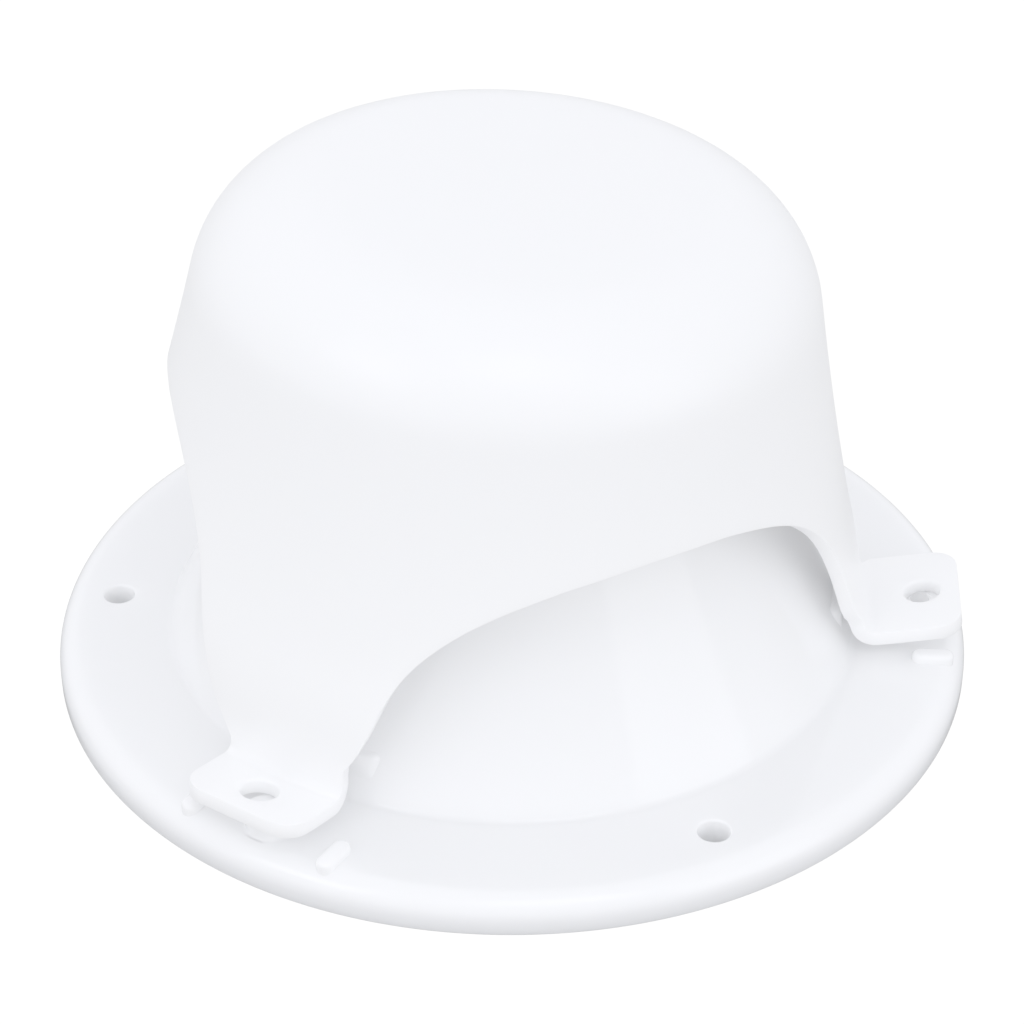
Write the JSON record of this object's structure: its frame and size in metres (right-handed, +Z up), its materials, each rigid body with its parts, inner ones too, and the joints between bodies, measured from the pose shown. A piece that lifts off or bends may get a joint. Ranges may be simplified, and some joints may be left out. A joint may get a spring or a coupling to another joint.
{
  "type": "mushroom ventilator",
  "caption": "Round deck ventilator: a three-legged domed hood over a flanged base with a conical upstand, with an insect screen and a deck gasket.",
  "frame": {"origin": "centre of the flange's underside, on the deck plane", "axes": "+Z up, out of the deck along the upstand's axis; +X through the middle of one foot station, the base's three deck-screw holes at 60, 180 and 300 degrees about +Z"},
  "size_m": [0.168, 0.168, 0.0955],
  "materials": {
    "base_moulding": "white injection moulding, satin gloss",
    "hood_moulding": "white injection moulding, satin gloss",
    "screen_wire": "woven stainless wire",
    "ring_moulding": "white moulding, satin",
    "gasket_foam": "closed-cell foam rubber, matt black"
  },
  "bodies": {
    "base": {"base_flange": "base_moulding", "insect_screen": "screen_wire", "screen_retaining_ring": "ring_moulding", "deck_gasket": "gasket_foam"},
    "hood": {"hood": "hood_moulding"}
  },
  "joints": [
    {"name": "hood_lift", "type": "slide", "parent": "base", "child": "hood", "axis": [0, 0, 1], "range_m": [0, 0.06]}
  ]
}
